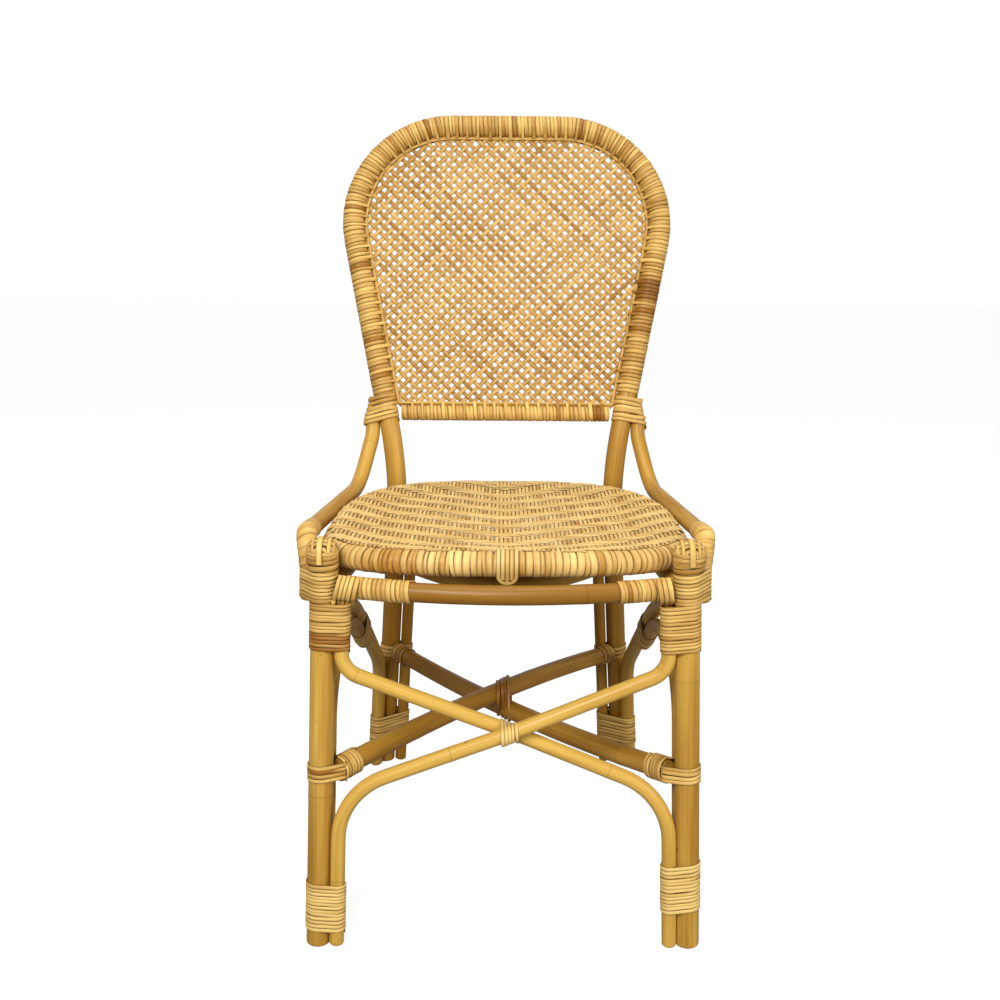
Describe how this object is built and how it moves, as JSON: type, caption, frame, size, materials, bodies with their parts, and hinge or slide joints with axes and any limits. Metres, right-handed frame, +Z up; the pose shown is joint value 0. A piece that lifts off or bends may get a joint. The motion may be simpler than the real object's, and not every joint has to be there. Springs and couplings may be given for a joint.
{
  "type": "rattan dining chair",
  "caption": "Rattan dining chair with an open woven back in a wrapped hoop frame, a woven seat, and bent poles lashed with peel at every joint.",
  "frame": {"origin": "on the floor, under the middle of the chair's box", "axes": "+Z up, -Y the way the sitter faces, +X the right side for someone who looks at the front"},
  "size_m": [0.4698, 0.5823, 0.9484],
  "materials": {
    "rattan_pole": "satin varnished rattan pole, golden tan with fine lengthwise streaks and thin darker nodes",
    "rattan_peel": "satin split peel, pale cream gold with darker strips among it",
    "pale_peel": "satin split peel, the palest strips",
    "woven_peel": "woven peel, mixed tan, cream and orange brown, low sheen"
  },
  "bodies": {
    "root": {"back_hoop": "rattan_pole", "back_hoop_wrap": "rattan_peel", "back_rail": "rattan_pole", "back_rail_wrap": "rattan_peel", "back_weave": "woven_peel", "arm_pole_left": "rattan_pole", "arm_pole_right": "rattan_pole", "arm_elbow_wrap_left": "rattan_peel", "arm_elbow_wrap_right": "rattan_peel", "front_leg_left": "rattan_pole", "front_leg_right": "rattan_pole", "post_cap_left": "rattan_peel", "post_cap_right": "rattan_peel", "post_wrap_left": "rattan_peel", "post_wrap_right": "rattan_peel", "post_lashing_left": "rattan_peel", "post_lashing_right": "rattan_peel", "front_rail": "rattan_pole", "front_rail_wrap_left": "rattan_peel", "front_rail_wrap_right": "rattan_peel", "side_rail_left": "rattan_pole", "side_rail_right": "rattan_pole", "rear_arch": "rattan_pole", "seat_ring": "rattan_pole", "seat_rim_wrap": "woven_peel", "seat_weave": "woven_peel", "seat_spine": "rattan_pole", "seat_bow": "rattan_pole", "front_brace_from_left": "rattan_pole", "front_brace_from_right": "rattan_pole", "front_cross_lashing": "pale_peel", "side_brace_left": "rattan_pole", "side_brace_right": "rattan_pole", "side_arch_left": "rattan_pole", "side_arch_right": "rattan_pole", "side_lashing_left": "rattan_peel", "side_lashing_right": "rattan_peel", "stretcher_from_left": "rattan_pole", "stretcher_from_right": "rattan_pole", "stretcher_cross_lashing": "rattan_peel", "joint_lashing_front_left": "rattan_peel", "joint_lashing_front_right": "rattan_peel", "joint_lashing_rear_left": "rattan_peel", "joint_lashing_rear_right": "rattan_peel", "front_joint_band_left": "rattan_peel", "front_joint_band_right": "rattan_peel", "rear_joint_band_left": "rattan_peel", "rear_joint_band_right": "rattan_peel", "front_foot_lashing_left": "rattan_peel", "front_foot_lashing_right": "rattan_peel", "rear_foot_lashing_left": "rattan_peel", "rear_foot_lashing_right": "rattan_peel", "waist_lashing_left": "rattan_peel", "waist_lashing_right": "rattan_peel"}
  },
  "joints": []
}
